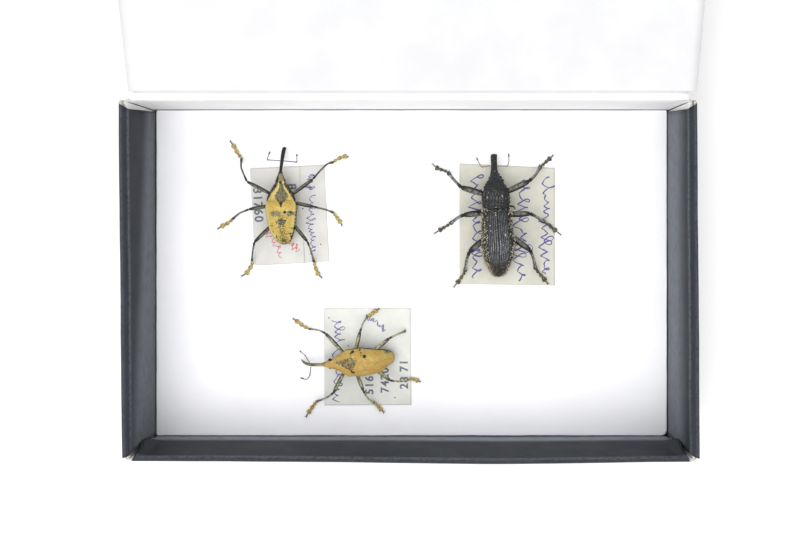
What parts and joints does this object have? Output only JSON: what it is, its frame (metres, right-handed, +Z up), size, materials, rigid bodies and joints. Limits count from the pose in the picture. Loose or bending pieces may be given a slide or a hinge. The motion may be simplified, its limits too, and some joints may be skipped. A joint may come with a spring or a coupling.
{
  "type": "insect specimen box",
  "caption": "Shallow folded-card box with a hinged lid, a foam pad and dried long-nosed weevils standing on paper labels.",
  "frame": {"origin": "centre of the tray's underside", "axes": "+Z up from the underside, +Y towards the rear wall that the lid hangs on, +X to the right seen from the front"},
  "size_m": [0.165, 0.2028, 0.0758],
  "materials": {
    "charcoal_card": "matte",
    "white_card": "satin",
    "foam": "matte",
    "label_paper": "matte",
    "cream_paper": "matte",
    "mustard_cuticle": "matte",
    "ochre_cuticle": "matte",
    "black_cuticle": "satin"
  },
  "bodies": {
    "box": {"carton_tray": "charcoal_card", "foam_pad": "foam", "label_left_name": "label_paper", "label_left_record": "label_paper", "label_front": "label_paper", "label_right": "cream_paper", "weevil_left": "mustard_cuticle", "weevil_front": "ochre_cuticle", "weevil_right": "black_cuticle"},
    "lid": {"carton_lid": "white_card"}
  },
  "joints": [
    {"name": "lid_hinge", "type": "hinge", "parent": "box", "child": "lid", "pos_m": [0, 0.0534, 0.031], "axis": [1, 0, 0], "range_deg": [-19, 160.5]}
  ]
}
